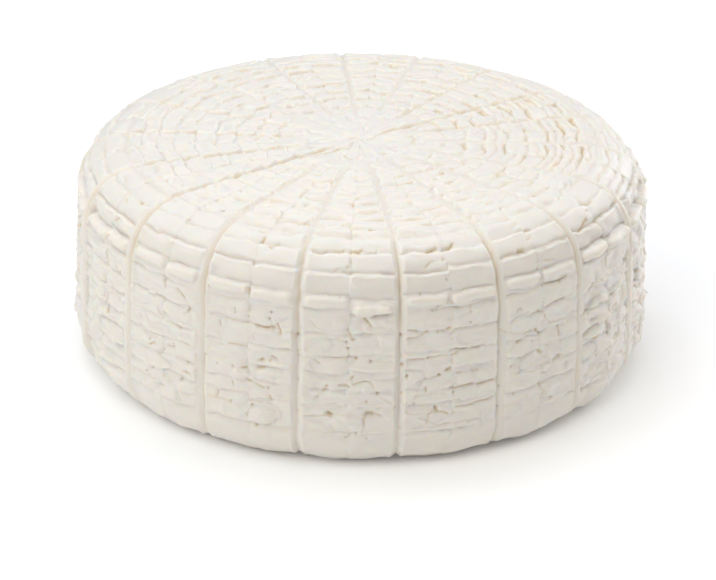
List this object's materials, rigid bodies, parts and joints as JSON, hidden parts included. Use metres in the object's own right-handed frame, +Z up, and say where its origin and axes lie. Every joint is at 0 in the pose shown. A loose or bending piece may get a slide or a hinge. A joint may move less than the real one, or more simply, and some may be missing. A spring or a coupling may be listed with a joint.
{
  "type": "panela cheese",
  "caption": "Whole round wheel of fresh white panela cheese, with radial grooves and rows of pressed strips left by a wicker basket, standing on its flat underside.",
  "frame": {"origin": "centre of the flat underside, on the surface that the wheel stands on", "axes": "+Z up along the wheel's axis, -Y towards the front that the picture shows, +X to the right"},
  "size_m": [0.1998, 0.1997, 0.074],
  "materials": {
    "fresh_curd": "fresh pressed curd: matt off-white, slightly moist and translucent, a little creamier in the crevices"
  },
  "bodies": {
    "root": {"cheese_wheel": "fresh_curd"}
  },
  "joints": []
}
